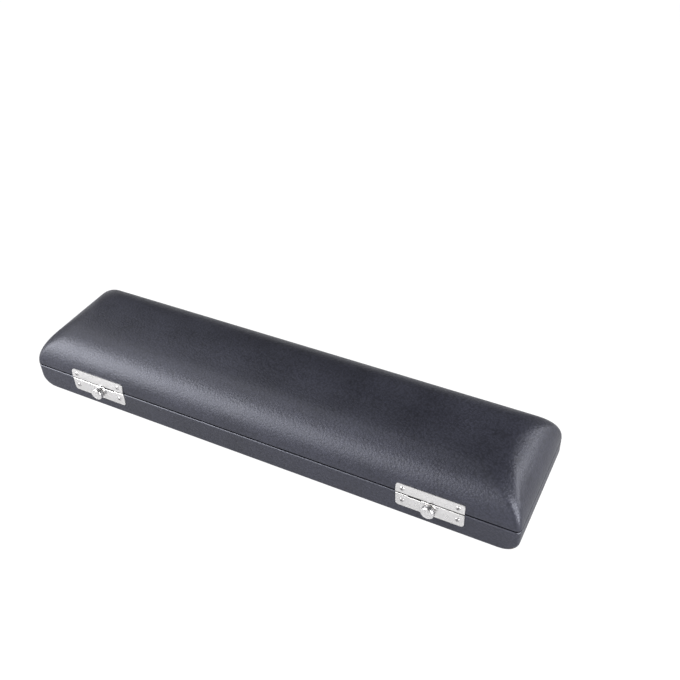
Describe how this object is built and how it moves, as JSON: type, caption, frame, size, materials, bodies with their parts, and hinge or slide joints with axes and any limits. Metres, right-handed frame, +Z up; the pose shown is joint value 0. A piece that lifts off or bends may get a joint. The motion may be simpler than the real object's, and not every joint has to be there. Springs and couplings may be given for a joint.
{
  "type": "flute case",
  "caption": "Rigid flute case with a pillow-shaped hinged lid, slide latches on the front and plush-lined rests for the three joints of a flute.",
  "frame": {"origin": "centre of the flat underside, under the middle of the case", "axes": "+X along the length to the right seen from the latches, front with the latches towards -Y, +Z up"},
  "size_m": [0.4, 0.1065, 0.0508],
  "materials": {
    "leathercloth": "fine pebble grain, semi-gloss",
    "underside_panel": "smooth, matt",
    "wood_shell": "raw, inside the covering",
    "lining_board": "short plush on thin board",
    "plush": "short plush over foam",
    "nickel_plate": "nickel plated, brushed along the length",
    "nickel_polished": "nickel plated, polished",
    "spring_steel": "plain"
  },
  "bodies": {
    "base": {"base_shell": "wood_shell", "base_cover": "leathercloth", "base_underside": "underside_panel", "base_floor_pad": "plush", "base_liner": "lining_board", "centre_divider": "plush", "body_block_left": "plush", "body_block_right": "plush", "head_block_left": "plush", "head_foot_block": "plush", "foot_block_right": "plush", "latch_base_plate_left": "nickel_plate", "latch_guide_left": "spring_steel", "latch_spring_left": "spring_steel", "hinge_base_leaf_left": "nickel_plate", "hinge_pin_left": "spring_steel", "latch_base_plate_right": "nickel_plate", "latch_guide_right": "spring_steel", "latch_spring_right": "spring_steel", "hinge_base_leaf_right": "nickel_plate", "hinge_pin_right": "spring_steel", "latch_base_screws": "nickel_polished", "hinge_base_screws": "nickel_polished"},
    "lid": {"lid_shell": "wood_shell", "lid_cover": "leathercloth", "lid_liner": "lining_board", "lid_pad_left": "plush", "lid_pad_middle": "plush", "lid_pad_right": "plush", "latch_lid_plate_left": "nickel_plate", "latch_catch_left": "spring_steel", "hinge_lid_leaf_left": "nickel_plate", "latch_lid_plate_right": "nickel_plate", "latch_catch_right": "spring_steel", "hinge_lid_leaf_right": "nickel_plate", "latch_lid_screws": "nickel_polished", "hinge_lid_screws": "nickel_polished"},
    "left_latch": {"latch_slider_left": "spring_steel", "latch_knob_left": "nickel_polished"},
    "right_latch": {"latch_slider_right": "spring_steel", "latch_knob_right": "nickel_polished"}
  },
  "joints": [
    {"name": "lid_hinge", "type": "hinge", "parent": "base", "child": "lid", "pos_m": [0, 0.0505, 0.0208], "axis": [-1, 0, 0], "range_deg": [0, 100]},
    {"name": "left_latch_slide", "type": "slide", "parent": "base", "child": "left_latch", "axis": [1, 0, 0], "range_m": [0, 0.0027]},
    {"name": "right_latch_slide", "type": "slide", "parent": "base", "child": "right_latch", "axis": [-1, 0, 0], "range_m": [0, 0.0027]}
  ]
}
